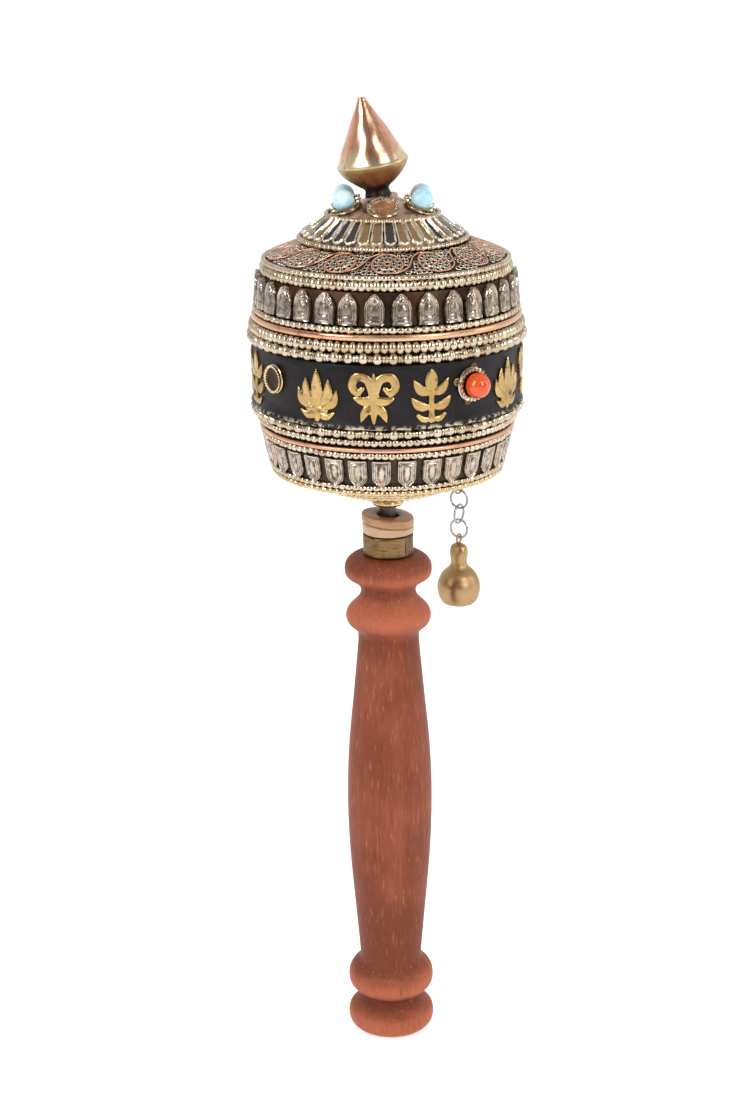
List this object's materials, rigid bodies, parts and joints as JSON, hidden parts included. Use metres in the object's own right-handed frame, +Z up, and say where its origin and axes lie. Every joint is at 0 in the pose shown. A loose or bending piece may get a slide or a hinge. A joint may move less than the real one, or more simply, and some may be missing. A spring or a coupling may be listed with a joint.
{
  "type": "prayer wheel",
  "caption": "Hand-held prayer wheel: a lidded metal drum with bead rows and stones, turning on a turned wooden handle, with a weight on a chain.",
  "frame": {"origin": "middle of the handle's flat bottom face", "axes": "+Z up along the handle and spindle, -Y the front, +X to the right seen from the front"},
  "size_m": [0.0754, 0.0787, 0.2705],
  "materials": {
    "wood": "matte, worn smooth",
    "aged_brass": "aged, scratched",
    "iron": "dull dark iron",
    "cream_bone": "polished bone",
    "honey_bone": "polished bone, honey brown",
    "black_iron": "blackened metal with a soft sheen",
    "dark_silver": "struck white metal, dark in its hollows",
    "white_metal": "worn white metal with a warm tint",
    "copper": "bright orange copper",
    "finial_copper": "polished copper, brassy and blackened low down",
    "cap_copper": "brown copper",
    "gilt": "pale brass",
    "setting_brass": "brass",
    "filigree": "twisted wire of copper and white metal on a dark ground",
    "paper": "blank rolled paper",
    "coral": "glossy orange-red bead",
    "turquoise": "pale blue bead",
    "weight_brass": "satin cast brass"
  },
  "bodies": {
    "handle": {"handle_grip": "wood", "ferrule": "aged_brass", "spindle": "iron"},
    "washers": {"washer_lower": "cream_bone", "washer_upper": "honey_bone"},
    "drum": {"drum_shell": "black_iron", "lower_plaque_band": "dark_silver", "drum_floor": "gilt", "hub_bush": "gilt", "core_tube": "iron", "pivot_cup": "aged_brass", "prayer_scroll": "paper", "lid_seat_ring": "copper", "seam_bead_row": "white_metal", "upper_bead_row": "white_metal", "lower_bead_row": "white_metal", "lower_fine_row": "white_metal", "copper_wire": "copper", "plaque_edge_row": "white_metal", "base_bright_row": "white_metal", "base_rim_row": "gilt", "band_setting_1": "setting_brass", "band_setting_2": "setting_brass", "band_setting_3": "setting_brass", "band_setting_4": "setting_brass", "band_stone_1": "coral", "band_stone_2": "coral", "band_stone_3": "coral", "chain_staple": "iron"},
    "lid": {"lid_skirt": "copper", "upper_plaque_band": "dark_silver", "lid_bead_row": "white_metal", "shoulder_bead_row": "white_metal", "lid_shoulder": "filigree", "petal_collar": "white_metal", "cap_plate": "cap_copper", "finial": "finial_copper", "lid_setting_1": "white_metal", "lid_setting_2": "white_metal", "lid_setting_3": "white_metal", "lid_setting_4": "white_metal", "lid_setting_5": "white_metal", "lid_setting_6": "white_metal", "lid_stone_2": "turquoise", "lid_stone_3": "turquoise", "lid_stone_5": "turquoise", "lid_stone_6": "turquoise"},
    "chain_top": {"chain_link_01": "iron", "chain_link_02": "iron", "chain_link_03": "iron", "chain_link_04": "iron"},
    "chain_middle": {"chain_link_05": "iron", "chain_link_06": "iron", "chain_link_07": "iron", "chain_link_08": "iron"},
    "chain_lower": {"chain_link_09": "iron", "chain_link_10": "iron", "chain_link_11": "iron"},
    "weight": {"weight_ring": "iron", "weight": "weight_brass"}
  },
  "joints": [
    {"name": "washer_spin", "type": "hinge", "parent": "handle", "child": "washers", "pos_m": [0, 0, 0.1549], "axis": [0, 0, 1], "continuous": true},
    {"name": "drum_spin", "type": "hinge", "parent": "handle", "child": "drum", "pos_m": [0, 0, 0.2334], "axis": [0, 0, 1], "continuous": true},
    {"name": "lid_lift", "type": "slide", "parent": "drum", "child": "lid", "axis": [0, 0, 1], "range_m": [0, 0.05]},
    {"name": "chain_swing", "type": "hinge", "parent": "drum", "child": "chain_top", "pos_m": [0.02121, 0.03462, 0.1935], "axis": [0.8526, -0.5225, 0], "range_deg": [-3, 85]},
    {"name": "chain_sway", "type": "hinge", "parent": "chain_top", "child": "chain_middle", "pos_m": [0.02121, 0.03462, 0.1766], "axis": [0.5225, 0.8526, 0], "range_deg": [-45, 45]},
    {"name": "chain_fold", "type": "hinge", "parent": "chain_middle", "child": "chain_lower", "pos_m": [0.02121, 0.03462, 0.1576], "axis": [0.8526, -0.5225, 0], "range_deg": [-12, 60]},
    {"name": "weight_sway", "type": "hinge", "parent": "chain_lower", "child": "weight", "pos_m": [0.02121, 0.03462, 0.1441], "axis": [0.5225, 0.8526, 0], "range_deg": [-50, 50]}
  ]
}
